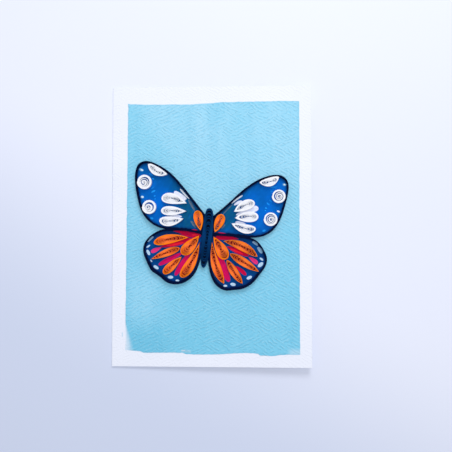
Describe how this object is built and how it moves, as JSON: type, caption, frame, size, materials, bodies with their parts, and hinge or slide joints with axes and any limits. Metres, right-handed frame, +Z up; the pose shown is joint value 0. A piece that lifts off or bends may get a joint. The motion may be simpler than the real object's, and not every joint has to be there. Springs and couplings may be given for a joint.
{
  "type": "quilled greeting card",
  "caption": "Folded paper greeting card; its front leaf carries a painted butterfly edged and filled with rolled paper strips standing on edge.",
  "frame": {"origin": "middle of the card's lower face, on the surface that it lies on", "axes": "+X from the fold to the free edge, +Y up the card towards the butterfly's forewings, +Z up out of the front leaf"},
  "size_m": [0.127, 0.178, 0.0095],
  "materials": {
    "watercolour_paper": "matte, rough grain, light blue wash with a white border",
    "painted_paper": "matte paint, blue with black edges",
    "black_strip": "matte",
    "navy_strip": "matte",
    "orange_strip": "matte",
    "white_strip": "matte"
  },
  "bodies": {
    "root": {"body_coil": "navy_strip", "butterfly_backing": "painted_paper", "folded_card": "watercolour_paper", "left_forewing_half_moon_coil": "white_strip", "left_forewing_lower_disc_coil": "white_strip", "left_forewing_lower_petal_coil": "white_strip", "left_forewing_middle_petal_coil": "white_strip", "left_forewing_outline": "black_strip", "left_forewing_root_petal_coil": "orange_strip", "left_forewing_upper_disc_coil": "white_strip", "left_forewing_upper_petal_coil": "white_strip", "left_hindwing_inner_petal_coil": "orange_strip", "left_hindwing_long_petal_coil": "orange_strip", "left_hindwing_outer_petal_coil": "orange_strip", "left_hindwing_outline": "black_strip", "left_hindwing_short_petal_coil": "orange_strip", "left_hindwing_top_petal_coil": "orange_strip", "right_forewing_half_moon_coil": "white_strip", "right_forewing_lower_disc_coil": "white_strip", "right_forewing_lower_petal_coil": "white_strip", "right_forewing_middle_petal_coil": "white_strip", "right_forewing_outline": "black_strip", "right_forewing_root_petal_coil": "orange_strip", "right_forewing_upper_disc_coil": "white_strip", "right_forewing_upper_petal_coil": "white_strip", "right_hindwing_inner_petal_coil": "orange_strip", "right_hindwing_long_petal_coil": "orange_strip", "right_hindwing_outer_petal_coil": "orange_strip", "right_hindwing_outline": "black_strip", "right_hindwing_short_petal_coil": "orange_strip", "right_hindwing_top_petal_coil": "orange_strip"}
  },
  "joints": []
}
